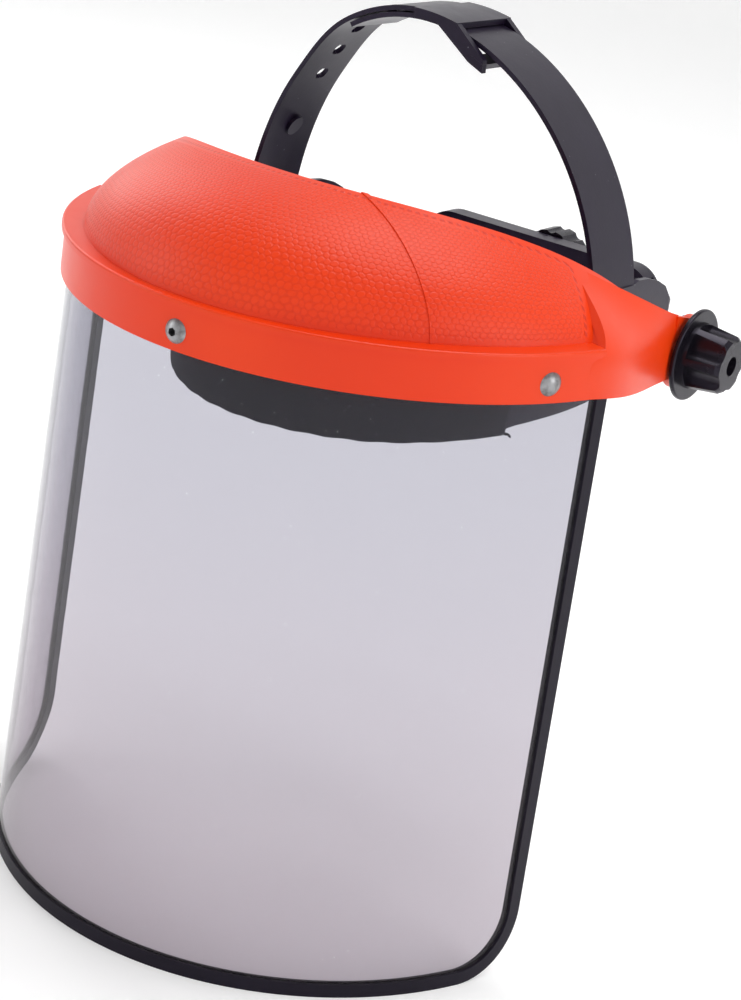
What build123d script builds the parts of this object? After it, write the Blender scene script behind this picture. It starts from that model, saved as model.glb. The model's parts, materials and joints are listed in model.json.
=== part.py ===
from build123d import *
import math
import os

# Face shield: tilting brow guard with clear visor on an adjustable headgear.
# Millimetres. Origin: middle of the tilt axis. The wearer faces -Y, +X is the wearer's left, +Z is up.

# --- visor sheet: elliptical in plan, opening slightly towards the bottom
SHEET_A = 108.6
SHEET_B = 118.5
SHEET_YC = -41.1
SHEET_FLARE = 0.02
SHEET_T = 1.0
SHEET_TOP = 12.0
SHEET_BOTTOM = -220.0
SHEET_BACK_Y = -67.6
CORNER_R = 24.0

# --- edging channel round the sheet
TRIM_OVER = 1.0
TRIM_BITE = 4.0
TRIM_WALL = 0.95
TRIM_TOP = -3.0

# --- brow guard
RIM_IN = 1.15
RIM_OUT = 3.3
RIM_LOW = -2.0
LEDGE_OUT = 4.5
LEDGE_LOW = 13.2
LEDGE_HIGH = 15.4
DOME_BASE = 0.6
DOME_TUCK = 3.6
DOME_T = 2.2
DOME_TOP_A = 94.5
DOME_TOP_B = 98.0
DOME_TOP_YC = -12.0
DOME_TOP_Z = 51.0
DOME_SWEEP = 78.0
ARM_T = 2.4
STEP_WEB = 7.0
BOSS_R = 13.5
ARM_IN_X = 100.5
ARM_OUT_X = 103.5

# --- visor fasteners
FAST_Z = 4.6
FAST_ANGLE = 64.1
FAST_HEAD_R = 4.15
FAST_HEAD_H = 2.1
FAST_SHANK_R = 2.0

# --- tilt pivots
SPIGOT_R = 4.0
PIVOT_FIT = 0.06
BOLT_R = 3.0
BOLT_FIT = 0.05
PLATE_IN_X = 96.0
PLATE_OUT_X = 98.7
FLANGE_X = 105.1
FLANGE_R = 16.7
FLANGE_T = 1.9
GRIP_END_X = 121.0

# --- headband
BAND_A = 72.5
BAND_B = 102.0
BAND_YC = -18.0
BAND_T = 2.0
BAND_REAR_Y = 40.0
SWEAT_T = 5.0
SWEAT_LOW = -30.8
SWEAT_HIGH = 2.0
SWEAT_END_Y = -58.0

# --- crown strap
ARCH_A = 76.5
ARCH_H = 96.0
ARCH_LEAN = -10.0
STRAP_T = 1.8
STRAP_W = 30.0
STRAP_Y = -11.0
FOOT_X = 74.9
LOOP_LIFT = 2.3

# --- rear adjuster
REAR_Z = -7.0
REAR_HALF_X = 53.0
REAR_HALF_H = 12.5
REAR_FRONT_Y = 68.3
REAR_BACK_Y = 77.2
PINION_R = 5.0
PINION_TEETH = 10
RACK_H = 17.0
RACK_T = 1.6
RACK_Y_LEFT = 70.5
RACK_Y_RIGHT = 72.5
KNOB_R = 14.2

os.makedirs("parts", exist_ok=True)


def sheet_a(z):
    return SHEET_A - SHEET_FLARE * z


def sheet_b(z):
    return SHEET_B - SHEET_FLARE * z


def barrel(off, z_low, z_high):
    low = Pos(0, SHEET_YC, z_low) * Ellipse(sheet_a(z_low) + off, sheet_b(z_low) + off)
    high = Pos(0, SHEET_YC, z_high) * Ellipse(sheet_a(z_high) + off, sheet_b(z_high) + off)
    return loft([low, high])


def oval(off, z_low, z_high):
    base = Pos(0, SHEET_YC, z_low) * Ellipse(SHEET_A + off, SHEET_B + off)
    return extrude(base, amount=z_high - z_low)


def block(x0, x1, y0, y1, z0, z1):
    return Pos((x0 + x1) / 2, (y0 + y1) / 2, (z0 + z1) / 2) * Box(x1 - x0, y1 - y0, z1 - z0)


def rod_x(x0, x1, y, z, r):
    return Pos((x0 + x1) / 2, y, z) * Rot(0, 90, 0) * Cylinder(r, x1 - x0)


def rod_y(y0, y1, x, z, r):
    return Pos(x, (y0 + y1) / 2, z) * Rot(90, 0, 0) * Cylinder(r, y1 - y0)


def both_sides(shape):
    return Part() + [shape, mirror(shape, about=Plane.YZ)]


def side_outline(y_back, z_low, z_high, r):
    body = block(-140, 140, -190, y_back, z_low, z_high)
    corner = [
        e
        for e in body.edges().filter_by(Axis.X)
        if e.center().Y > y_back - 0.1 and e.center().Z < z_low + 0.1
    ]
    return fillet(corner, r)


def rim_place(t_deg, off, z):
    t = math.radians(t_deg)
    base = Vector(SHEET_A * math.sin(t), SHEET_YC - SHEET_B * math.cos(t), z)
    normal = Vector(math.sin(t) / SHEET_A, -math.cos(t) / SHEET_B, 0).normalized()
    return Plane(origin=base + normal * off, x_dir=(0, 0, 1), z_dir=normal)


def fastener_rods(r):
    rods = [rim_place(t, 0, FAST_Z) * Rot(0, 0, 25) * Cylinder(r, 24) for t in (-FAST_ANGLE, 0, FAST_ANGLE)]
    return Part() + rods


def make_sheet():
    skin = barrel(SHEET_T, SHEET_BOTTOM - 3, SHEET_TOP + 3) - barrel(0, SHEET_BOTTOM - 4, SHEET_TOP + 4)
    sheet = skin & side_outline(SHEET_BACK_Y, SHEET_BOTTOM, SHEET_TOP, CORNER_R)
    return sheet - fastener_rods(FAST_SHANK_R + 0.15)


def make_trim():
    z0 = SHEET_BOTTOM - 5
    wall = barrel(SHEET_T + TRIM_WALL, z0, 6) - barrel(-TRIM_WALL, z0 - 1, 7)
    outer = side_outline(SHEET_BACK_Y + TRIM_OVER, SHEET_BOTTOM - TRIM_OVER, TRIM_TOP, CORNER_R + TRIM_OVER)
    inner = side_outline(SHEET_BACK_Y - TRIM_BITE, SHEET_BOTTOM + TRIM_BITE, 40, CORNER_R - TRIM_BITE)
    slot = barrel(SHEET_T + 0.05, z0 + 1, 8) - barrel(-0.05, z0, 9)
    slot = slot & side_outline(SHEET_BACK_Y + 0.05, SHEET_BOTTOM - 0.05, 20, CORNER_R + 0.05)
    return ((wall & outer) - inner) - slot


def dome_section(t_deg, lift):
    t = math.radians(t_deg)
    side = min(1.0, abs(t_deg) / 52)
    side = side * side * (3 - 2 * side)
    base = DOME_BASE - DOME_TUCK * side
    foot = Vector((SHEET_A + base) * math.sin(t), SHEET_YC - (SHEET_B + base) * math.cos(t), 0)
    drop = 14.5 * (1 - math.cos(t)) + 26.5 * (1 - math.cos(t)) ** 2
    head = Vector(DOME_TOP_A * math.sin(t), DOME_TOP_YC - DOME_TOP_B * math.cos(t), 0)
    run = (head - foot).length
    inward = (head - foot).normalized()
    rise = DOME_TOP_Z - drop - LEDGE_LOW
    end = math.radians(74 - 16 * side)
    outer = []
    inner = []
    for i in range(8):
        a = end * i / 7
        h = run * (1 - math.cos(a)) / (1 - math.cos(end))
        v = rise * math.sin(a) / math.sin(end)
        dh = run * math.sin(a) / (1 - math.cos(end))
        dv = rise * math.cos(a) / math.sin(end)
        size = math.hypot(dh, dv)
        nh = dv / size
        nv = -dh / size
        outer.append(foot + inward * (h - nh * lift) + Vector(0, 0, LEDGE_LOW + v - nv * lift))
        inner.append(foot + inward * (h + nh * DOME_T) + Vector(0, 0, LEDGE_LOW + v + nv * DOME_T))
    loop = [
        Edge.make_spline(outer),
        Edge.make_line(outer[-1], inner[-1]),
        Edge.make_spline(inner[::-1]),
        Edge.make_line(inner[0], outer[0]),
    ]
    return Face(Wire(loop))


def make_dome(lift):
    steps = 12
    faces = [dome_section(DOME_SWEEP * (2 * i / steps - 1), lift) for i in range(steps + 1)]
    return loft(faces)


def arm_section(y, x_low, z_low, x_top, z_top, wall=ARM_T):
    h = z_top - z_low
    outer = [
        Vector(x_low, y, z_low),
        Vector(x_low + 0.05, y, z_low + 0.15 * h),
        Vector(x_low, y, z_low + 0.30 * h),
        Vector(x_low - 0.32 * (x_low - x_top), y, z_low + 0.64 * h),
        Vector(x_top, y, z_top),
    ]
    lean = math.atan2(x_low - x_top, 0.5 * h)
    inner = [
        Vector(x_low - wall, y, z_low),
        Vector(x_low + 0.05 - wall, y, z_low + 0.15 * h),
        Vector(x_low - wall, y, z_low + 0.29 * h),
        Vector(x_low - 0.34 * (x_low - x_top) - wall, y, z_low + 0.60 * h),
        Vector(x_top - wall * math.cos(lean), y, z_top - wall * math.sin(lean)),
    ]
    loop = [
        Edge.make_spline(outer),
        Edge.make_line(outer[-1], inner[-1]),
        Edge.make_spline(inner[::-1]),
        Edge.make_line(inner[0], outer[0]),
    ]
    return Face(Wire(loop))


def make_arm():
    stations = [
        (-79, 106.2, -1.9, 71.5, 42.6),
        (-66, 109.4, -2.9, 79.8, 37.6),
        (-52, 109.2, -4.6, 89.0, 31.4),
        (-38, 107.4, -5.9, 97.0, 25.3),
        (-24, 105.2, -6.9, 101.5, 19.6),
        (-9, 103.6, -8.0, 102.9, 15.0),
    ]
    arm = loft([arm_section(*s) for s in stations])
    step = Polyline((-73.5, LEDGE_LOW), (-57.0, 40.0), (-57.0, 60.0), (-95.0, 60.0), (-95.0, LEDGE_LOW), close=True)
    cutter = extrude(Plane.YZ * make_face(step), amount=140)
    web_side = Polyline((-76, 13.5), (-76, 15.1), (-71.9, 15.1), (-56.7, 39.8), (-54.9, 39.8), (-70.9, 13.5), close=True)
    web_slab = extrude(Plane.YZ * make_face(web_side), amount=140)
    web_stations = [(y, x_low - 0.7, z_low, x_top - 0.7, z_top, STEP_WEB) for y, x_low, z_low, x_top, z_top in stations]
    web = loft([arm_section(*s) for s in web_stations]) & web_slab
    arm = arm - cutter + web
    boss = rod_x(ARM_IN_X, ARM_OUT_X, 0, 0, BOSS_R)
    arm = arm - block(80, 130, -12, 30, -40, 40)
    side = Polyline((-13.2, -7.6), (-13.2, 15.4), (-9, 14.6), (-3, 13.2), (0, 13.0), (0, -7.6), close=True)
    neck = extrude(Plane.YZ.offset(ARM_IN_X + 0.2) * make_face(side), amount=ARM_OUT_X - ARM_IN_X - 0.2)
    return arm + boss + neck


def make_rib(dome):
    proud = make_dome(0.45) - dome
    slab = Pos(51.5, -116.4, 30) * Rot(0, 0, -23.1) * Box(62, 1.6, 80)
    return [s for s in (proud & slab).solids() if s.volume > 3]


def make_brow_guard():
    rim = oval(RIM_OUT, RIM_LOW, LEDGE_HIGH) - oval(RIM_IN, RIM_LOW - 1, LEDGE_LOW)
    ledge = oval(LEDGE_OUT, LEDGE_LOW, LEDGE_HIGH)
    ledge = fillet(ledge.edges().group_by(Axis.Z)[-1], 0.8)
    well = oval(DOME_BASE - DOME_TUCK - DOME_T + 0.3, RIM_LOW - 1, LEDGE_HIGH + 1)
    front = block(-140, 140, -200, -74.5, -20, 40)
    hoop = (((rim + ledge) - well) & front) - fastener_rods(FAST_SHANK_R + 0.1)
    dome = make_dome(0)
    arms = both_sides(make_arm())
    guard = hoop + dome + arms
    for rib in make_rib(dome):
        guard = guard + rib
    sheet_room = oval(RIM_IN, RIM_LOW - 8, SHEET_TOP + 0.6)
    guard = guard - (sheet_room & block(-140, 140, -200, SHEET_BACK_Y + 0.4, -20, 40))
    bore = rod_x(90, 110, 0, 0, SPIGOT_R + PIVOT_FIT)
    return guard - both_sides(bore)


def fastener(t_deg, socket):
    cap_r = (FAST_HEAD_R**2 + FAST_HEAD_H**2) / (2 * FAST_HEAD_H)
    head = Pos(0, 0, FAST_HEAD_H - cap_r) * Sphere(cap_r) & Pos(0, 0, 5) * Box(20, 20, 10)
    body = head + Pos(0, 0, -4.6) * Cylinder(FAST_SHANK_R, 9.4)
    if socket:
        body = body - Pos(0, 0, 2.0) * extrude(RegularPolygon(1.5, 6), amount=3, both=True)
    return rim_place(t_deg, RIM_OUT, FAST_Z) * body


def make_centre_fastener():
    return fastener(0, True)


def make_side_fasteners():
    return Part() + [fastener(-FAST_ANGLE, False), fastener(FAST_ANGLE, False)]


def make_fastener_washers():
    ring = Cylinder(4.4, 1.0) - Cylinder(FAST_SHANK_R + 0.1, 2)
    return Part() + [rim_place(t, -0.85, FAST_Z) * ring for t in (-FAST_ANGLE, 0, FAST_ANGLE)]


def make_fastener_nuts():
    nut = extrude(RegularPolygon(4.0, 6), amount=1.4, both=True) - Cylinder(FAST_SHANK_R + 0.05, 6)
    return Part() + [rim_place(t, -3.0, FAST_Z) * nut for t in (-FAST_ANGLE, 0, FAST_ANGLE)]


def band_plan(off):
    front = Pos(0, BAND_YC) * Ellipse(BAND_A + off, BAND_B + off)
    front = front & Pos(0, -100 + BAND_YC) * Rectangle(300, 200)
    sides = Pos(0, BAND_YC + 35) * Rectangle(2 * (BAND_A + off), 70)
    return front + sides


def band_solid(off, z0, z1):
    return extrude(Pos(0, 0, z0) * band_plan(off), amount=z1 - z0)


def make_front_band():
    ring = band_solid(BAND_T, -40, 30) - band_solid(0, -41, 31)
    side = Polyline(
        (-130, -29), (-64, -29), (-55, -27.3), (-42, -26.4), (-14, -25.2), (20, -22), (36, -18),
        (BAND_REAR_Y, -12), (BAND_REAR_Y, 2), (38.6, 7), (34, 11.5), (27, 14.5), (19, 16.5), (11, 17),
        (6, 15.5), (2, 12), (-34, 12), (-46, 8), (-66, 4), (-130, 4), close=True,
    )
    keep = extrude(Plane.YZ * make_face(side), amount=140, both=True)
    band = ring & keep
    for y in (-20, -2):
        band = band - rod_x(-120, 120, y, 0, 2.1)
    band = band - rod_x(-120, 120, 30, REAR_Z, 2.4)
    return band


def make_sweatband():
    whole = band_solid(BAND_T + 1.3, -40, SWEAT_HIGH) - band_solid(-0.1 - SWEAT_T, -41, SWEAT_HIGH + 1)
    side = Polyline(
        (SWEAT_END_Y, SWEAT_LOW), (SWEAT_END_Y, 10), (-140, 10), (-140, SWEAT_LOW - 1.6),
        (-96, SWEAT_LOW - 1.6), (-72, SWEAT_LOW - 0.3), close=True,
    )
    whole = whole & extrude(Plane.YZ * make_face(side), amount=140, both=True)
    return whole - (band_solid(BAND_T + 0.1, -29.1, 10) - band_solid(-0.1, -30, 11))


def make_bracket():
    base = block(FOOT_X + STRAP_T + 0.1, 79.6, -35, 12, -9, 9)
    plate = block(PLATE_IN_X, PLATE_OUT_X, -37, 13, -9.4, 9.4)
    plate = fillet(plate.edges().filter_by(Axis.X), 6)
    webs = block(79, 97, -35, -31.8, -7, 7) + block(79, 97, 8.8, 12, -7, 7)
    spigot = rod_x(PLATE_OUT_X - 0.5, ARM_OUT_X, 0, 0, SPIGOT_R)
    bracket = base + plate + webs + spigot
    bracket = bracket - rod_x(90, 120, 0, 0, BOLT_R + 0.1)
    for y in (-20, -2):
        bracket = bracket - rod_x(70, 84, y, 0, 2.1)
    return bracket


def make_bolt():
    head = block(92.6, 95.9, -5, 5, -5, 5)
    return head + rod_x(95.5, 118.0, 0, 0, BOLT_R)


def make_friction_washer():
    return rod_x(98.9, 100.2, 0, 0, 12.5) - rod_x(98, 101, 0, 0, SPIGOT_R + 0.1)


def make_clamp_washer():
    return rod_x(103.8, 104.8, 0, 0, 11.0) - rod_x(103, 106, 0, 0, BOLT_R + BOLT_FIT)


def make_knob():
    flange = rod_x(FLANGE_X, FLANGE_X + FLANGE_T, 0, 0, FLANGE_R)
    flange = fillet(flange.edges(), 0.7)
    x0 = FLANGE_X + FLANGE_T - 0.2
    low = Plane(origin=(x0, 0, 0), x_dir=(0, 1, 0), z_dir=(1, 0, 0)) * Circle(12.2)
    high = Plane(origin=(GRIP_END_X - 1.5, 0, 0), x_dir=(0, 1, 0), z_dir=(1, 0, 0)) * Circle(10.6)
    end = Plane(origin=(GRIP_END_X, 0, 0), x_dir=(0, 1, 0), z_dir=(1, 0, 0)) * Circle(9.3)
    core = loft([low, high]) + loft([high, end])
    for i in range(6):
        a = math.radians(60 * i + 30)
        valley = rod_x(x0 + 1.6, GRIP_END_X + 2, 14.8 * math.cos(a), 14.8 * math.sin(a), 6.2)
        core = core - valley
    knob = flange + core
    knob = knob - rod_x(FLANGE_X - 1, GRIP_END_X + 1, 0, 0, BOLT_R + 0.6)
    pocket = Plane(origin=(FLANGE_X - 0.5, 0, 0), x_dir=(0, 1, 0), z_dir=(1, 0, 0)) * RegularPolygon(5.8, 6)
    return knob - extrude(pocket, amount=7.5)


def make_knob_insert():
    hexagon = Plane(origin=(FLANGE_X + 0.4, 0, 0), x_dir=(0, 1, 0), z_dir=(1, 0, 0)) * RegularPolygon(5.7, 6)
    return extrude(hexagon, amount=6.4) - rod_x(104, 120, 0, 0, BOLT_R + BOLT_FIT)


def arch_point(theta, off):
    t = math.radians(theta)
    x = ARCH_A * math.cos(t) + ARCH_LEAN * math.sin(t) ** 2
    z = ARCH_H * math.sin(t)
    dx = -ARCH_A * math.sin(t) + 2 * ARCH_LEAN * math.sin(t) * math.cos(t)
    dz = ARCH_H * math.cos(t)
    size = math.hypot(dx, dz)
    return Vector(x + off * dz / size, 0, z - off * dx / size)


def arch_band(theta0, theta1, lift, thick, width):
    steps = max(8, round(abs(theta1 - theta0) / 5))
    stops = [theta0 + (theta1 - theta0) * i / steps for i in range(steps + 1)]
    outer = [arch_point(a, lift(a) + thick / 2) for a in stops]
    inner = [arch_point(a, lift(a) - thick / 2) for a in stops]
    loop = [
        Edge.make_spline(outer),
        Edge.make_line(outer[-1], inner[-1]),
        Edge.make_spline(inner[::-1]),
        Edge.make_line(inner[0], outer[0]),
    ]
    face = Face(Wire(loop))
    return Pos(0, STRAP_Y, 0) * extrude(face, amount=width / 2, both=True, dir=(0, 1, 0))


def level(theta):
    return 0


def raised(theta):
    return LOOP_LIFT + 0.1


def eased(theta):
    t = min(1, max(0, (138 - theta) / 22))
    return (LOOP_LIFT + 0.1) * t * t * (3 - 2 * t)


def bar_level(theta):
    return -4.6


def strap_foot(sign):
    side = Polyline((-29, -9), (7, -9), (7, 5), (4.5, 15), (-26.5, 15), (-29, 5), close=True)
    foot = extrude(Plane.YZ.offset(FOOT_X) * make_face(side), amount=STRAP_T)
    riser = block(FOOT_X, FOOT_X + STRAP_T, STRAP_Y - STRAP_W / 2, STRAP_Y + STRAP_W / 2, 10, 17)
    foot = foot + riser
    for y in (-20, -2):
        foot = foot - rod_x(60, 90, y, 0, 2.1)
    if sign < 0:
        return mirror(foot, about=Plane.YZ)
    return foot


def make_crown_strap_left():
    strap = arch_band(7, 115, level, STRAP_T, STRAP_W)
    peg = Pos(*arch_point(108, 1.8)) * Pos(0, STRAP_Y, 0) * Rot(0, -18, 0) * Cylinder(1.9, 4.0)
    return strap + strap_foot(1) + peg


def make_crown_strap_right():
    band = arch_band(79, 173, eased, STRAP_T, STRAP_W)
    wide = arch_band(79, 92, raised, STRAP_T + 0.5, STRAP_W + 7)
    bar = arch_band(68, 72, bar_level, STRAP_T + 0.4, STRAP_W + 7)
    rail = make_face(
        Polyline(
            arch_point(86, LOOP_LIFT + 0.1 + STRAP_T / 2),
            arch_point(79, LOOP_LIFT + 0.1 + STRAP_T / 2),
            arch_point(68.5, -2.2),
            arch_point(67, -6.2),
            arch_point(72, -6.2),
            arch_point(86, LOOP_LIFT + 0.1 - STRAP_T / 2),
            close=True,
        )
    )
    rail_solid = extrude(rail, amount=1.4, both=True, dir=(0, 1, 0))
    rails = Pos(0, STRAP_Y - 17.0, 0) * rail_solid + Pos(0, STRAP_Y + 17.0, 0) * rail_solid
    strap = band + wide + bar + rails + strap_foot(-1)
    for theta in (108, 121, 129.5, 138):
        lean = 90 - theta
        hole = Pos(*arch_point(theta, 1)) * Pos(0, STRAP_Y, 0) * Rot(0, lean, 0)
        strap = strap - hole * (Cylinder(2.3, 12) + Pos(0, 2, 0) * Cylinder(2.3, 12) + Box(4.6, 2, 12))
    boss = Pos(*arch_point(154, -1.4)) * Pos(0, STRAP_Y, 0) * Rot(0, -66, 0) * Cylinder(4.0, 1.6)
    return strap + boss


def make_side_rivets():
    rivets = []
    for y in (-20, -2):
        rod = rod_x(71.0, 81.0, y, 0, 2.0)
        head_in = rod_x(70.7, 72.1, y, 0, 3.4)
        head_out = rod_x(79.65, 81.0, y, 0, 3.4)
        rivets.append(rod + head_in + head_out)
    return Part() + [both_sides(r) for r in rivets]


def rack_plan(y_in):
    bend = 34.0
    x_side = BAND_A - 0.4
    arc = x_side - bend
    outer = Polyline((x_side, 14), (x_side, y_in + RACK_T - bend))
    turn = CenterArc((arc, y_in + RACK_T - bend), bend, 0, 90)
    back = Polyline((arc, y_in + RACK_T), (-26, y_in + RACK_T), (-26, y_in), (arc, y_in))
    turn_in = CenterArc((arc, y_in + RACK_T - bend), bend - RACK_T, 0, 90)
    close = Polyline((x_side - RACK_T, y_in + RACK_T - bend), (x_side - RACK_T, 14), (x_side, 14))
    return make_face([outer.edge(), turn.edge()] + back.edges() + [turn_in.edge()] + close.edges())


def rack_tooth(x, top):
    s = 1 if top else -1
    z_root = REAR_Z + s * (PINION_R + 1.2)
    z_tip = REAR_Z + s * (PINION_R - 0.7)
    pts = Polyline((x - 1.05, z_root), (x - 0.30, z_tip), (x + 0.30, z_tip), (x + 1.05, z_root), close=True)
    return extrude(Plane.XZ * make_face(pts), amount=-60, both=False)


def make_rack(y_in, top, sign):
    strap = extrude(Pos(0, 0, REAR_Z - RACK_H / 2) * rack_plan(y_in), amount=RACK_H)
    slot = block(-12, 19, 60, 80, REAR_Z - PINION_R - 1.1, REAR_Z + PINION_R + 1.1)
    strap = strap - slot
    pitch = math.pi
    for i in range(-3, 6):
        x = pitch * (i + 0.5)
        tooth = rack_tooth(x, top) & block(-30, 30, y_in, y_in + RACK_T, -40, 40)
        strap = strap + tooth
    strap = strap - rod_x(60, 90, 30, REAR_Z, 2.05)
    if sign < 0:
        strap = mirror(strap, about=Plane.YZ)
    return strap


def make_lap_pin(sign):
    pin = rod_x(69.0, 76.2, 30, REAR_Z, 2.0) + rod_x(68.8, 70.4, 30, REAR_Z, 3.2)
    if sign < 0:
        return mirror(pin, about=Plane.YZ)
    return pin


def pill(half_x, half_z, y0, y1):
    plan = Plane(origin=(0, y0, REAR_Z), x_dir=(1, 0, 0), z_dir=(0, 1, 0)) * SlotOverall(2 * half_x, 2 * half_z)
    return extrude(plan, amount=y1 - y0)


def make_rear_housing():
    shell = pill(REAR_HALF_X, REAR_HALF_H, REAR_FRONT_Y, REAR_BACK_Y - 2.0)
    cavity = block(-60, 60, 70.1, 80, REAR_Z - RACK_H / 2 - 0.4, REAR_Z + RACK_H / 2 + 0.4)
    mouths = both_sides(block(32, 60, 66, 80, REAR_Z - RACK_H / 2 - 0.4, REAR_Z + RACK_H / 2 + 0.4))
    shell = shell - cavity - mouths
    shell = shell - rod_y(60, 72, 0, REAR_Z, 2.06)
    for x in (-40, 40):
        for z in (-10.6, 10.6):
            shell = shell - rod_y(71, 80, x * 0.85, REAR_Z + z, 0.55)
    return shell


def make_rear_cover():
    cover = pill(REAR_HALF_X, REAR_HALF_H, REAR_BACK_Y - 1.95, REAR_BACK_Y)
    cover = cover - rod_y(70, 80, 0, REAR_Z, 3.56)
    cover = cover - rod_y(70, 80, -9.2, REAR_Z, 0.95) - rod_y(70, 80, 9.2, REAR_Z, 0.95)
    for x in (-34, 34):
        for z in (-10.6, 10.6):
            cover = cover - rod_y(70, 80, x, REAR_Z + z, 0.65)
    return cover


def make_cover_screws():
    screws = []
    for x in (-34, 34):
        for z in (-10.6, 10.6):
            head = rod_y(REAR_BACK_Y + 0.02, REAR_BACK_Y + 0.8, x, REAR_Z + z, 1.3)
            screws.append(head + rod_y(72.0, REAR_BACK_Y + 0.1, x, REAR_Z + z, 0.5))
    return Part() + screws


def make_pinion():
    core = Circle(PINION_R - 1.0)
    for i in range(PINION_TEETH):
        a = 360 * i / PINION_TEETH + 90
        tooth = make_face(Polyline((3.6, -0.75), (5.0, -0.52), (5.65, -0.22), (5.65, 0.22), (5.0, 0.52), (3.6, 0.75), close=True))
        core = core + Rot(0, 0, a) * tooth
    gear = extrude(Plane(origin=(0, 70.5, REAR_Z), x_dir=(1, 0, 0), z_dir=(0, 1, 0)) * core, amount=3.6)
    shaft = rod_y(74.0, 82.0, 0, REAR_Z, 3.5)
    tip = rod_y(68.6, 71.0, 0, REAR_Z, 2.0)
    pinion = gear + shaft + tip
    return pinion - rod_y(76.0, 83.0, 0, REAR_Z, 1.05)


def make_rear_knob():
    disc = rod_y(78.3, 89.5, 0, REAR_Z, KNOB_R)
    for i in range(12):
        a = math.radians(30 * i)
        x = (KNOB_R + 1.6) * math.cos(a)
        z = REAR_Z + (KNOB_R + 1.6) * math.sin(a)
        disc = disc - rod_y(78, 90, x, z, 2.6)
    disc = disc - rod_y(70, 82.05, 0, REAR_Z, 3.55)
    disc = disc - rod_y(70, 95, 0, REAR_Z, 1.2)
    disc = disc - rod_y(87.0, 95, 0, REAR_Z, 3.0)
    detents = rod_y(78, 81.0, 0, REAR_Z, 12.4) - rod_y(77, 82, 0, REAR_Z, 6.0)
    return disc - detents


def make_knob_screw():
    return rod_y(77.0, 87.5, 0, REAR_Z, 1.0) + rod_y(87.2, 88.8, 0, REAR_Z, 2.6)


def make_detent_spring():
    ring = rod_y(77.6, 78.0, 0, REAR_Z, 11.5) - rod_y(77, 79, 0, REAR_Z, 7.0)
    tongue = block(-1.2, 1.2, 77.6, 80.2, REAR_Z + 8.0, REAR_Z + 11.0)
    feet = rod_y(75.4, 77.9, -9.2, REAR_Z, 0.9) + rod_y(75.4, 77.9, 9.2, REAR_Z, 0.9)
    return ring + tongue + feet


def save(name, shape):
    export_step(shape, "parts/" + name + ".step")


def mirrored(shape):
    return mirror(shape, about=Plane.YZ)


save("visor_sheet", make_sheet())
save("visor_edge_trim", make_trim())
save("brow_guard", make_brow_guard())
save("centre_visor_fastener", make_centre_fastener())
save("side_visor_fasteners", make_side_fasteners())
save("visor_fastener_washers", make_fastener_washers())
save("visor_fastener_nuts", make_fastener_nuts())
save("front_headband", make_front_band())
save("sweatband", make_sweatband())
save("pivot_bracket_left", make_bracket())
save("pivot_bracket_right", mirrored(make_bracket()))
save("pivot_bolts", both_sides(make_bolt()))
save("pivot_friction_washers", both_sides(make_friction_washer()))
save("clamp_washer_left", make_clamp_washer())
save("clamp_washer_right", mirrored(make_clamp_washer()))
save("clamp_knob_left", make_knob())
save("clamp_knob_right", mirrored(make_knob()))
save("clamp_knob_insert_left", make_knob_insert())
save("clamp_knob_insert_right", mirrored(make_knob_insert()))
save("crown_strap_left", make_crown_strap_left())
save("crown_strap_right", make_crown_strap_right())
save("side_rivets", make_side_rivets())
save("rack_strap_left", make_rack(RACK_Y_LEFT, False, 1))
save("rack_strap_right", make_rack(RACK_Y_RIGHT, True, -1))
save("rack_lap_pin_left", make_lap_pin(1))
save("rack_lap_pin_right", make_lap_pin(-1))
save("rear_housing", make_rear_housing())
save("rear_cover", make_rear_cover())
save("rear_cover_screws", make_cover_screws())
save("rear_pinion", make_pinion())
save("rear_knob", make_rear_knob())
save("rear_knob_screw", make_knob_screw())
save("rear_detent_spring", make_detent_spring())
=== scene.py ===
import json
import math
import bmesh
import bpy
from mathutils import Matrix, Vector


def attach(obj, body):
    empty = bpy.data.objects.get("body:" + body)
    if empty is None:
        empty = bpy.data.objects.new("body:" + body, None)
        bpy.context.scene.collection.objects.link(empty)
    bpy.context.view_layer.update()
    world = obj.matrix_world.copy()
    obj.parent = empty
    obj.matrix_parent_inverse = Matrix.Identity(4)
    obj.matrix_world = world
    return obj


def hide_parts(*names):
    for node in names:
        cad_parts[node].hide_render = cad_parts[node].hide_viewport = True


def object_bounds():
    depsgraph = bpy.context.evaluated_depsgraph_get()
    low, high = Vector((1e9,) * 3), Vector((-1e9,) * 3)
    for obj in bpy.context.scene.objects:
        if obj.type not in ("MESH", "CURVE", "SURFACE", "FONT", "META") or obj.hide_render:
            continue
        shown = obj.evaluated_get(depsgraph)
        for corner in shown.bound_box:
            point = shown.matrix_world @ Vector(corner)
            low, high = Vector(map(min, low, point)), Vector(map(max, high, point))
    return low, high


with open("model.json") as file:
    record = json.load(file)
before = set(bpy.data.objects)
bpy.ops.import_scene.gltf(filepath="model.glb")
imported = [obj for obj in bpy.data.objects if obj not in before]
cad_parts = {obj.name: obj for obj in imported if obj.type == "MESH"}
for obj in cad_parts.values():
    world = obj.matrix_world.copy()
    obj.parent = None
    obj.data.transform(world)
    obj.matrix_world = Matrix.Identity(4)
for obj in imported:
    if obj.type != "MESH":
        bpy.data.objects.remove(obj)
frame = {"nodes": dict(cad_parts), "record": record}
cad_box = [[float(v) for v in p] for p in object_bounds()]
nodes = frame["nodes"]
scene = bpy.context.scene


# --- node helpers

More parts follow.
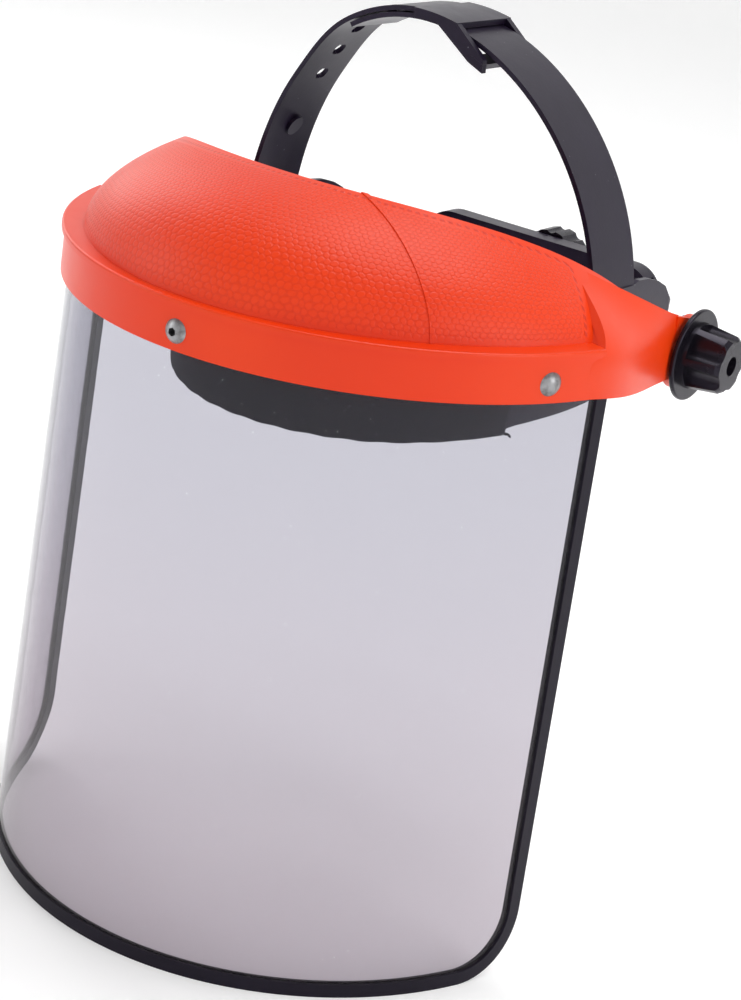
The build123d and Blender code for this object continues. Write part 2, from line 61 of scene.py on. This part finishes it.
class Graph:
    """One material's node tree, with short calls for its nodes. A value is a socket or a plain number."""

    def __init__(self, name):
        self.material = bpy.data.materials.new(name)
        self.material.use_nodes = True
        self.tree = self.material.node_tree
        self.shader = self.tree.nodes["Principled BSDF"]

    def node(self, kind, **settings):
        made = self.tree.nodes.new(kind)
        for key, value in settings.items():
            setattr(made, key, value)
        return made

    def fill(self, socket, value):
        if isinstance(value, bpy.types.NodeSocket):
            self.tree.links.new(value, socket)
        else:
            socket.default_value = value

    def set(self, **values):
        """Fills the shader's sockets, named with underscores for spaces."""
        for key, value in values.items():
            self.fill(self.shader.inputs[key.replace("_", " ")], value)

    def calc(self, operation, a, b=0.0):
        made = self.node("ShaderNodeMath", operation=operation)
        self.fill(made.inputs[0], a)
        self.fill(made.inputs[1], b)
        return made.outputs[0]

    def add(self, a, b):
        return self.calc("ADD", a, b)

    def subtract(self, a, b):
        return self.calc("SUBTRACT", a, b)

    def multiply(self, a, b):
        return self.calc("MULTIPLY", a, b)

    def length(self, a, b):
        return self.calc("SQRT", self.add(self.multiply(a, a), self.multiply(b, b)))

    def rise(self, value, low, high):
        """0 below low and 1 above high, smooth between them."""
        made = self.node("ShaderNodeMapRange", interpolation_type="SMOOTHSTEP")
        self.fill(made.inputs["Value"], value)
        made.inputs["From Min"].default_value = low
        made.inputs["From Max"].default_value = high
        return made.outputs[0]

    def drop(self, value, low, high):
        """1 below low and 0 above high, smooth between them."""
        return self.subtract(1.0, self.rise(value, low, high))

    def mix(self, factor, a, b):
        made = self.node("ShaderNodeMix", data_type="RGBA")
        self.fill(made.inputs[0], factor)
        self.fill(made.inputs[6], a)
        self.fill(made.inputs[7], b)
        return made.outputs[2]

    def place(self):
        return self.node("ShaderNodeTexCoord").outputs["Object"]

    def split(self, vector):
        made = self.node("ShaderNodeSeparateXYZ")
        self.fill(made.inputs[0], vector)
        return made.outputs

    def noise(self, place, scale, detail=3.0, rough=0.55):
        made = self.node("ShaderNodeTexNoise")
        self.fill(made.inputs["Vector"], place)
        made.inputs["Scale"].default_value = scale
        made.inputs["Detail"].default_value = detail
        made.inputs["Roughness"].default_value = rough
        return made.outputs["Fac"]

    def specks(self, place, scale, core, rim):
        """Small round spots: 1 within core of a scattered point and 0 past rim, as shares of the spacing."""
        made = self.node("ShaderNodeTexVoronoi", feature="F1")
        self.fill(made.inputs["Vector"], place)
        made.inputs["Scale"].default_value = scale
        return self.drop(made.outputs["Distance"], core, rim)

    def bump(self, height, distance, strength, under=None):
        """A surface normal from a height; under is a normal that this one adds to."""
        made = self.node("ShaderNodeBump")
        self.fill(made.inputs["Height"], height)
        made.inputs["Distance"].default_value = distance
        made.inputs["Strength"].default_value = strength
        if under is not None:
            self.fill(made.inputs["Normal"], under)
        return made.outputs[0]


def linear(r, g, b):
    """A linear colour from 0 to 255 sRGB values."""
    def one(v):
        v = v / 255
        return v / 12.92 if v <= 0.04045 else ((v + 0.055) / 1.055) ** 2.4
    return (one(r), one(g), one(b), 1.0)


def lighter(colour, gain, lift=0.0):
    return tuple(min(1, v * gain + lift) for v in colour[:3]) + (1,)


# --- materials

VIOLET_GLOSS = (0.86, 0.78, 1.0, 1)

# where the grain and the dotted border lie on the brow guard's dome, in metres
LEDGE_Z = 0.0132
DOME_YC, DOME_CORE = -0.03, 0.078          # the grain goes round this upright axis and over a ring about it
ROUND_REACH, OVER_REACH = 0.115, 0.045     # metres of grain per radian round the dome and up over it
TOP_A, TOP_B, TOP_YC = 0.0945, 0.098, -0.012    # ellipse along the dome's top edge
TOP_MEAN = 0.096                           # its mean radius, which turns shares of it into metres
STEP_Y, STEP_RISE = -0.0735, 1.624         # the step to each arm: its y at the ledge, and its slope, z over y
CELL_PITCH, CELL_DRIFT = 0.0025, 0.0030
DOT_PITCH, DOT_INSET = 0.0026, 0.0028
FIELD_INSET = (0.0040, 0.0048)             # the grain fades in this far in from the top edge and the step
GRAIN_FOOT = (0.0160, 0.0176)              # and between these heights, just above the ledge


def dome_pattern(g, place):
    """The grained field, the lines between its honeycomb cells, and the dots of its border, each 0 to 1."""
    x, y, z = g.split(place)
    height = g.subtract(z, LEDGE_Z)
    # round and up the dome, in metres, so that the grain follows its surface
    forward = g.subtract(DOME_YC, y)
    bearing = g.calc("ARCTAN2", x, forward)
    climb = g.calc("ARCTAN2", height, g.subtract(g.length(x, forward), DOME_CORE))
    drift = g.multiply(g.subtract(g.noise(place, 190, 2), 0.5), CELL_DRIFT)
    along = g.add(g.multiply(bearing, ROUND_REACH), drift)
    up = g.add(g.multiply(climb, OVER_REACH), g.multiply(drift, 0.7))
    # three crossed waves make a honeycomb of low cells
    run = g.multiply(along, 2 * math.pi / CELL_PITCH)
    rise = g.multiply(up, 2 * math.pi / CELL_PITCH / math.sqrt(3))
    waves = g.add(g.calc("COSINE", g.subtract(run, rise)), g.calc("COSINE", g.add(run, rise)))
    waves = g.add(waves, g.calc("COSINE", g.multiply(rise, 2.0)))
    # inside the field: above the ledge, outside the top edge, in front of the step to each arm
    wide = g.multiply(x, 1 / TOP_A)
    deep = g.multiply(g.subtract(y, TOP_YC), 1 / TOP_B)
    from_top = g.multiply(g.subtract(g.length(wide, deep), 1.0), TOP_MEAN)
    from_step = g.subtract(height, g.multiply(g.subtract(y, STEP_Y), STEP_RISE))
    from_step = g.multiply(from_step, 1 / math.hypot(1, STEP_RISE))
    inset = g.calc("MINIMUM", from_top, from_step)
    above = g.rise(z, *GRAIN_FOOT)
    field = g.multiply(g.rise(inset, *FIELD_INSET), above)
    grain = g.multiply(g.drop(waves, -1.45, 0.1), field)
    line = g.drop(g.calc("ABSOLUTE", g.subtract(inset, DOT_INSET)), 0.0004, 0.0008)
    trail = g.add(g.multiply(bearing, 0.09), g.multiply(z, 0.9))
    dots = g.rise(g.calc("SINE", g.multiply(trail, 2 * math.pi / DOT_PITCH)), -0.5, 0.3)
    return field, grain, g.multiply(g.multiply(line, dots), above)


def orange_plastic():
    """Satin orange moulding: smooth rim and arms, a fine cell grain on the dome inside a dotted border, with
    painted shade darkening its sunken cells and dots.
    """
    g = Graph("orange_moulding")
    place = g.place()
    field, grain, stitch = dome_pattern(g, place)
    broad = g.noise(place, 12, 2)
    skin = g.noise(place, 1100, 2)
    scuff = g.noise(place, 60, 4, 0.7)
    base = g.mix(g.rise(broad, 0.3, 0.75), linear(223, 52, 4), linear(230, 60, 8))
    # painted shade: the sunken grain cells are coloured darker where the bump sinks them
    base = g.mix(g.multiply(grain, 0.26), base, linear(188, 32, 2))
    # painted shade: the sunken border dots are coloured darker where the bump sinks them
    base = g.mix(g.multiply(stitch, 0.7), base, linear(196, 34, 8))
    sunk = g.calc("MAXIMUM", grain, g.multiply(stitch, 1.3))
    relief = g.bump(g.multiply(sunk, -1.0), 0.00013, 0.7, under=g.bump(skin, 0.00003, 0.3))
    rough = g.add(g.multiply(field, 0.07), g.add(0.27, g.multiply(scuff, 0.1)))
    g.set(Base_Color=base, Normal=relief, Roughness=rough, IOR=1.5, Specular_IOR_Level=0.3)
    return g.material


def black_plastic(name, colour, rough, skin_scale, skin_depth):
    """Moulded black plastic: satin skin, faint rubbed patches, and a few pale grains of dust."""
    g = Graph(name)
    place = g.place()
    broad = g.noise(place, 22, 2)
    skin = g.noise(place, skin_scale, 3)
    scuff = g.noise(place, 70, 4, 0.7)
    base = g.mix(g.rise(broad, 0.25, 0.8), colour, lighter(colour, 1.6))
    base = g.mix(g.multiply(g.rise(scuff, 0.60, 0.78), 0.35), base, lighter(colour, 2.4, 0.006))
    dusty = g.rise(g.noise(place, 60, 2), 0.5, 0.62)
    dust = g.multiply(g.multiply(g.specks(place, 260, 0.05, 0.10), dusty), 0.35)
    base = g.mix(dust, base, (0.25, 0.24, 0.28, 1))
    g.set(Base_Color=base, Normal=g.bump(skin, skin_depth, 0.5))
    g.set(Roughness=g.add(g.multiply(scuff, 0.16), rough - 0.08))
    g.set(IOR=1.5, Specular_IOR_Level=0.3, Specular_Tint=VIOLET_GLOSS)
    return g.material


def rubber():
    """Black edging of the sheet: soft broad patches and a fine skin."""
    g = Graph("black_edging")
    place = g.place()
    fine = g.noise(place, 500, 3)
    broad = g.noise(place, 40, 3)
    g.set(Base_Color=g.mix(broad, (0.004, 0.003, 0.006, 1), (0.009, 0.007, 0.013, 1)))
    g.set(Roughness=g.add(g.multiply(broad, 0.2), 0.32), Normal=g.bump(fine, 0.00005, 0.5))
    g.set(IOR=1.5, Specular_IOR_Level=0.2, Specular_Tint=VIOLET_GLOSS)
    return g.material


# the veil's colour at the sheet's head, and a pinker colour at its foot that is a painted reflection and shade
# of the floor, blended between FOOT_Z and HEAD_Z
SHEET_HEAD = (0.475, 0.47, 0.525, 1)
SHEET_FOOT_FLOOR_REFLECTION_AND_SHADE = (0.53, 0.49, 0.535, 1)
FOOT_Z, HEAD_Z = -0.19, 0.02


def clear_sheet():
    """Clear plastic sheet with a faint grey violet veil and fine dust; pinker towards its foot, a painted
    reflection and shade of the floor.

    The low IOR keeps what lies behind it undistorted, and the coat gives it its gloss at grazing angles.
    """
    g = Graph("clear_window")
    place = g.place()
    z = g.split(place)[2]
    cloud = g.noise(place, 8, 3)
    # painted reflection and shade of the floor: the veil turns pinker towards the sheet's foot
    base = g.mix(g.rise(g.add(z, g.multiply(cloud, 0.03)), FOOT_Z, HEAD_Z), SHEET_FOOT_FLOOR_REFLECTION_AND_SHADE, SHEET_HEAD)
    dust = g.specks(place, 170, 0.02, 0.05)
    smear = g.multiply(g.rise(g.noise(place, 45, 5, 0.7), 0.6, 0.8), 0.006)
    g.set(Base_Color=g.mix(g.multiply(dust, 0.6), base, (0.9, 0.9, 0.92, 1)))
    g.set(Transmission_Weight=0.965, IOR=1.02, Specular_IOR_Level=0.5)
    g.set(Roughness=g.add(g.multiply(dust, 0.3), smear))
    g.set(Coat_Weight=1.0, Coat_IOR=1.2, Coat_Roughness=0.04)
    return g.material


def steel():
    """Zinc plated steel, unevenly dulled."""
    g = Graph("zinc_plated_steel")
    place = g.place()
    tarnish = g.noise(place, 300, 4)
    fine = g.noise(place, 1800, 2)
    g.set(Base_Color=g.mix(g.rise(tarnish, 0.35, 0.75), linear(158, 158, 160), linear(104, 102, 102)))
    g.set(Roughness=g.add(g.multiply(tarnish, 0.25), 0.3), Normal=g.bump(fine, 0.00003, 0.4), Metallic=1.0)
    return g.material


def brass():
    """Turned brass, slightly tarnished."""
    g = Graph("turned_brass")
    tarnish = g.noise(g.place(), 260, 4)
    g.set(Base_Color=g.mix(tarnish, linear(196, 158, 84), linear(150, 112, 52)), Metallic=1.0)
    g.set(Roughness=g.add(g.multiply(tarnish, 0.2), 0.25))
    return g.material


def sweat_fabric():
    """Dark smooth foam with a leathery skin, softly mottled, with small pale flecks of lint."""
    g = Graph("sweatband_fabric")
    place = g.place()
    skin = g.noise(place, 620, 3)
    cloud = g.noise(place, 30, 4)
    linty = g.rise(g.noise(place, 90, 3), 0.48, 0.60)
    lint = g.multiply(g.multiply(g.specks(place, 380, 0.11, 0.20), linty), 0.7)
    base = g.mix(g.rise(cloud, 0.3, 0.7), linear(11, 7, 14), linear(21, 16, 27))
    base = g.mix(lint, base, linear(150, 148, 160))
    g.set(Base_Color=base, Roughness=0.6, Normal=g.bump(skin, 0.00005, 0.3))
    g.set(IOR=1.45, Specular_IOR_Level=0.22, Specular_Tint=(0.86, 0.72, 1.0, 1))
    return g.material


STRAP_BLACK = (0.0070, 0.0044, 0.0120, 1)
KNOB_BLACK = (0.0045, 0.0036, 0.0060, 1)

finish = {
    "orange_plastic": orange_plastic(),
    "clear_sheet": clear_sheet(),
    "black_rubber": rubber(),
    "black_plastic": black_plastic("satin_black_plastic", STRAP_BLACK, 0.32, 700, 0.00004),
    "knob_plastic": black_plastic("knob_black_plastic", KNOB_BLACK, 0.26, 500, 0.00004),
    "sweat_fabric": sweat_fabric(),
    "steel": steel(),
    "brass": brass(),
}
slot_of = {part["node"]: part["material_slot"] for part in frame["record"]["subparts"]}
for name, node in nodes.items():
    node.data.materials.clear()
    node.data.materials.append(finish[slot_of[name]])


# --- mesh helpers

def bridge(shell, a, b):
    """Joins two closed rings of points with a band of faces."""
    for k in range(len(a)):
        after = (k + 1) % len(a)
        shell.faces.new((a[k], b[k], b[after], a[after]))


def close_tube(shell, rings):
    """Joins a row of closed rings of points into one closed tube."""
    for a, b in zip(rings, rings[1:]):
        bridge(shell, a, b)
    shell.faces.new(rings[0])
    shell.faces.new(list(reversed(rings[-1])))


def smooth_object(shell, name, material):
    """Turns a bmesh into an object with smooth faces and one material."""
    bmesh.ops.recalc_face_normals(shell, faces=shell.faces)
    mesh = bpy.data.meshes.new(name)
    shell.to_mesh(mesh)
    shell.free()
    for face in mesh.polygons:
        face.use_smooth = True
    mesh.materials.append(material)
    made = bpy.data.objects.new(name, mesh)
    scene.collection.objects.link(made)
    return made


# --- sweatband: a lined foam strip folded round the front of the headband, in place of its CAD solid

BAND_A, BAND_B, BAND_YC = 0.0725, 0.102, -0.018     # ellipse of the headband's inner face
SWEAT_END_Y = -0.058                                # where the strip ends on each side
SWEAT_FOOT = -0.0308
SWEAT_RINGS, END_RINGS = 150, 5                     # sections along the strip, and those that round off each end
OUTER_OFF, INNER_OFF, END_PINCH = 0.0032, -0.0051, 0.0006
CROWN, OUTER_CROWN = 0.0009, 0.0002
RIPPLE, RIPPLE_RATE = 0.00022, 57
FOREHEAD_Y, FOREHEAD_FADE, FOREHEAD_DROP = -0.062, 0.038, 0.0016
HEM_WAVE, HEM_WAVE_RATE = 0.00018, 41
SLOT_IN, SLOT_OUT = -0.00015, 0.00215               # the slot in the fold that the headband fills
SLOT_TOP, SLOT_MIDDLE, SLOT_FOOT = 0.0004, -0.015, -0.0288
TAIL_RINGS, TAIL_REACH, TAIL_DROP = 7, 0.0072, 0.0030


def band_place(turn, off, z):
    """A point off the headband's inner face, where turn goes from the wearer's right end to the left one."""
    return Vector(((BAND_A + off) * math.sin(turn), BAND_YC - (BAND_B + off) * math.cos(turn), z))


def sweat_foot(turn):
    """The strip hangs lower at the forehead than at its two ends, with a slightly wavy hem."""
    y = BAND_YC - BAND_B * math.cos(turn)
    low = min(1.0, max(0.0, (FOREHEAD_Y - y) / FOREHEAD_FADE))
    return SWEAT_FOOT - FOREHEAD_DROP * low + HEM_WAVE * math.sin(turn * HEM_WAVE_RATE) * low


def sweat_section(turn, share):
    """The folded strip's outline at one place, as (off, z) pairs. share is 0 at an end and 1 away from it."""
    foot = sweat_foot(turn)
    pinch = END_PINCH * (1 - share)
    outer_top, outer_foot = 0.0012, foot + 0.0025
    outer = []
    for k in range(8):
        h = k / 7
        off = OUTER_OFF - pinch / 3 + OUTER_CROWN * math.sin(math.pi * h)
        outer.append((off, outer_top + (outer_foot - outer_top) * h))
    hem = [(0.0029, foot + 0.0008), (0.0018, foot + 0.0001), (-0.0010, foot - 0.0001), (-0.0038, foot + 0.0003)]
    inner_foot, inner_top = foot + 0.0018, 0.0006
    inner = []
    for k in range(10):
        h = k / 9
        crown = CROWN * share * (1 - (2 * h - 1) ** 4)
        ripple = RIPPLE * share * math.sin(turn * RIPPLE_RATE) * math.sin(math.pi * h)
        inner.append((INNER_OFF + pinch - crown - ripple, inner_foot + (inner_top - inner_foot) * h))
    top = [(-0.0044, 0.0018), (-0.0025, 0.0021), (-0.0008, 0.0016)]
    slot = [(SLOT_IN, SLOT_TOP), (SLOT_IN, SLOT_MIDDLE), (SLOT_IN, SLOT_FOOT)]
    slot += [(SLOT_OUT, SLOT_FOOT), (SLOT_OUT, SLOT_MIDDLE), (SLOT_OUT, SLOT_TOP)]
    lip = [(0.0025, 0.0016), (0.0030, 0.0019)]
    return outer + hem + inner + top + slot + lip


def binding_tail(end):
    """Rings of the binding's loose end, which hangs past the strip at the wearer's left and tapers."""
    rings = []
    for i in range(TAIL_RINGS):
        t = i / (TAIL_RINGS - 1)
        spot = band_place(end, 0.0022, sweat_foot(end) + 0.0009)
        spot += Vector((-0.0012 * t, TAIL_REACH * t - 0.001, -TAIL_DROP * t * t))
        half_x, half_z = 0.0012 * (1 - 0.55 * t), 0.0005
        corners = ((-half_x, -half_z), (half_x, -half_z), (half_x, half_z), (-half_x, half_z))
        rings.append([spot + Vector((dx, 0, dz)) for dx, dz in corners])
    return rings


def make_sweatband():
    end = math.acos((BAND_YC - SWEAT_END_Y) / BAND_B)
    rings = []
    for i in range(SWEAT_RINGS + 1):
        turn = -end + 2 * end * i / SWEAT_RINGS
        share = math.sin(min(1.0, min(i, SWEAT_RINGS - i) / END_RINGS) * math.pi / 2)
        rings.append([band_place(turn, off, z) for off, z in sweat_section(turn, share)])
    strip = bmesh.new()
    for tube in (rings, binding_tail(end)):
        close_tube(strip, [[strip.verts.new(p) for p in ring] for ring in tube])
    piece = smooth_object(strip, "sweatband_strip", finish["sweat_fabric"])
    rounding = piece.modifiers.new("rounding", "SUBSURF")
    rounding.levels = rounding.render_levels = 1
    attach(piece, "headgear")
    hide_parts("sweatband")


make_sweatband()


# --- floor, lights and camera

FLOOR_GLOW = 0.22
FLOOR_FLAT, FLOOR_CURVE, WALL_HEIGHT = 2.3, 0.9, 3.4    # radius of the flat part, radius of the bend, wall top
FLOOR_TURNS, BEND_STEPS = 96, 12

LIGHT_AIM = (0, -0.06, -0.05)
LIGHTS = (  # name, place, size, watts
    ("top", (0.1, 0.3, 1.4), (1.1, 0.8), 13),
    ("right_side", (1.5, -0.1, 0.6), (0.7, 0.9), 5.5),
    ("left_back", (-1.3, 0.5, 0.7), (0.5, 1.1), 4),
    ("left_front", (-1.4, -1.0, 0.6), (0.6, 1.0), 3.5),
)
WORLD_WHITE, WORLD_STRENGTH = (1, 1, 1, 1), 0.3

# fitted to the photo's outlines
CAMERA_AZIMUTH, CAMERA_ELEVATION, CAMERA_ROLL = 31.15, 20.35, 9.02
CAMERA_PLACE = (0.4408, -0.7566, 0.2311)
CAMERA_LENS, SENSOR_WIDTH = 86.47, 36


def stage_material():
    g = Graph("pale_floor")
    cloud = g.noise(g.place(), 1.5, 2)
    g.set(Base_Color=g.mix(cloud, (0.90, 0.90, 0.90, 1), (0.93, 0.93, 0.93, 1)), Roughness=0.9)
    g.set(Emission_Color=(1, 1, 1, 1), Emission_Strength=FLOOR_GLOW)
    return g.material


def make_floor():
    """A round pale floor that curves up into a wall on every side."""
    low = min(p[2] for p in cad_box)
    profile = [(FLOOR_FLAT, 0.0)]
    for k in range(1, BEND_STEPS + 1):
        a = math.radians(90 * k / BEND_STEPS)
        profile.append((FLOOR_FLAT + FLOOR_CURVE * math.sin(a), FLOOR_CURVE * (1 - math.cos(a))))
    profile.append((FLOOR_FLAT + FLOOR_CURVE, WALL_HEIGHT))
    angles = [2 * math.pi * k / FLOOR_TURNS for k in range(FLOOR_TURNS)]
    shell = bmesh.new()
    centre = shell.verts.new((0, 0, low))
    rings = []
    for r, z in profile:
        rings.append([shell.verts.new((r * math.cos(a), r * math.sin(a), low + z)) for a in angles])
    for k in range(FLOOR_TURNS):
        shell.faces.new((centre, rings[0][k], rings[0][(k + 1) % FLOOR_TURNS]))
    for a, b in zip(rings, rings[1:]):
        bridge(shell, a, b)
    floor = smooth_object(shell, "floor", stage_material())


def make_lights():
    for name, place, size, watts in LIGHTS:
        data = bpy.data.lights.new(name, "AREA")
        data.shape = "RECTANGLE"
        data.size, data.size_y = size
        data.energy = watts
        lamp = bpy.data.objects.new(name, data)
        lamp.location = place
        lamp.rotation_euler = (Vector(LIGHT_AIM) - Vector(place)).to_track_quat("-Z", "Y").to_euler()
        scene.collection.objects.link(lamp)
    world = bpy.data.worlds.new("studio")
    world.use_nodes = True
    background = world.node_tree.nodes["Background"]
    background.inputs["Color"].default_value = WORLD_WHITE
    background.inputs["Strength"].default_value = WORLD_STRENGTH
    scene.world = world
    scene.view_settings.view_transform = "Standard"
    scene.view_settings.look = "None"


def make_camera():
    azimuth, elevation, roll = (math.radians(v) for v in (CAMERA_AZIMUTH, CAMERA_ELEVATION, CAMERA_ROLL))
    flat = math.cos(elevation)
    back = Vector((math.sin(azimuth) * flat, -math.cos(azimuth) * flat, math.sin(elevation)))
    right = Vector((math.cos(azimuth), math.sin(azimuth), 0))
    up = back.cross(right)
    side = right * math.cos(roll) + up * math.sin(roll)
    top = up * math.cos(roll) - right * math.sin(roll)
    data = bpy.data.cameras.new("camera")
    data.sensor_width = SENSOR_WIDTH
    data.lens = CAMERA_LENS
    data.clip_start = 0.01
    data.clip_end = 50
    camera = bpy.data.objects.new("camera", data)
    camera.matrix_world = Matrix.Translation(CAMERA_PLACE) @ Matrix((side, top, back)).transposed().to_4x4()
    scene.collection.objects.link(camera)
    bpy.context.scene.camera = camera


make_floor()
make_lights()
make_camera()
